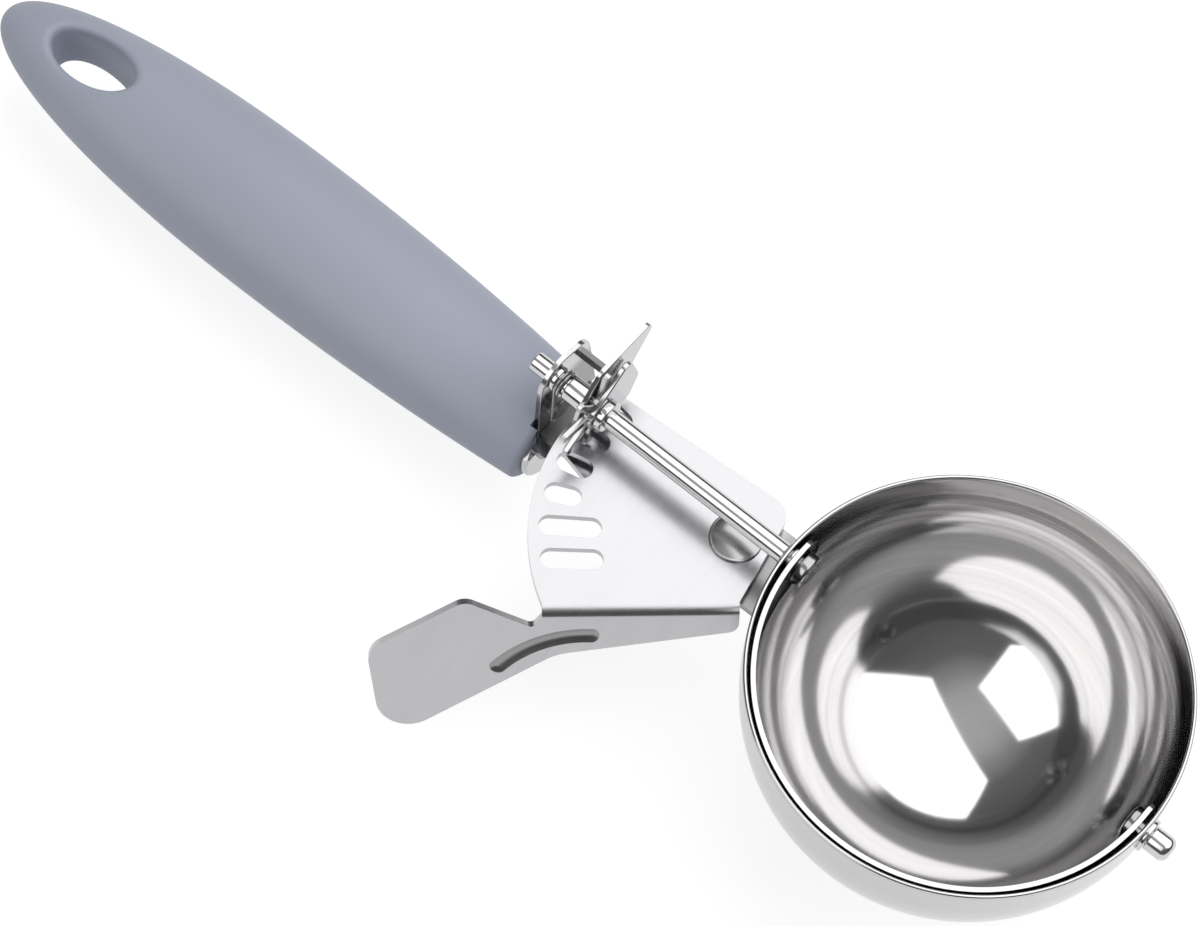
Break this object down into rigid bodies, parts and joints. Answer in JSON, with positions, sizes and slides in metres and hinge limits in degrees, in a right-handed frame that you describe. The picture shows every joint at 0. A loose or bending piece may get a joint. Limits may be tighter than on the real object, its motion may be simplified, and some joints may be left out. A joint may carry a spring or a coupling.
{
  "type": "lever ice cream scoop",
  "caption": "Ice cream scoop with a hemispherical steel bowl, a thumb lever whose slotted sector turns a star pinion, a blade that sweeps the bowl, and a moulded handle.",
  "frame": {"origin": "centre of the ball that the bowl shapes, on the axis of the spindle", "axes": "+X along the spindle from the handle to the far end of the bowl, +Z out of the mouth of the bowl, thumb paddle on the -Y side"},
  "size_m": [0.2155, 0.078, 0.0383],
  "materials": {
    "bowl_steel": "mirror-polished stainless steel",
    "sheet_steel": "satin stamped stainless sheet",
    "blade_steel": "polished stainless strip",
    "turned_steel": "bright turned stainless",
    "spring_steel": "drawn spring wire",
    "handle_plastic": "grey-blue matte moulded plastic"
  },
  "bodies": {
    "frame": {"handle_grip": "handle_plastic", "bolster_plate": "sheet_steel", "frame_plate": "sheet_steel", "bowl_saddle": "sheet_steel", "bowl_shell": "bowl_steel", "near_bowl_bush": "turned_steel", "far_bowl_bush": "turned_steel", "spindle_bracket": "sheet_steel", "return_spring": "spring_steel", "pivot_rivet": "turned_steel", "pivot_washer": "turned_steel"},
    "lever": {"thumb_lever": "sheet_steel"},
    "spindle": {"spindle": "turned_steel", "rear_collar": "turned_steel", "spindle_sleeve": "turned_steel", "star_pinion": "sheet_steel", "stop_cam": "sheet_steel", "front_collar": "turned_steel", "scraper_blade": "blade_steel", "near_blade_hub": "turned_steel", "far_pivot_pin": "turned_steel"}
  },
  "joints": [
    {"name": "lever_pivot", "type": "hinge", "parent": "frame", "child": "lever", "pos_m": [-0.0393, 0, -0.0068], "axis": [0, 0, -1], "range_deg": [0, 42], "stiffness_Nm_per_rad": 0.2, "springref_deg": -17.19},
    {"name": "spindle_turn", "type": "hinge", "parent": "frame", "child": "spindle", "pos_m": [-0.065, 0, 0], "axis": [1, 0, 0], "range_deg": [0, 168], "deforming": ["return_spring"]}
  ],
  "couplings": [
    {"joint": "spindle_turn", "follows": "lever_pivot", "ratio": 4}
  ]
}
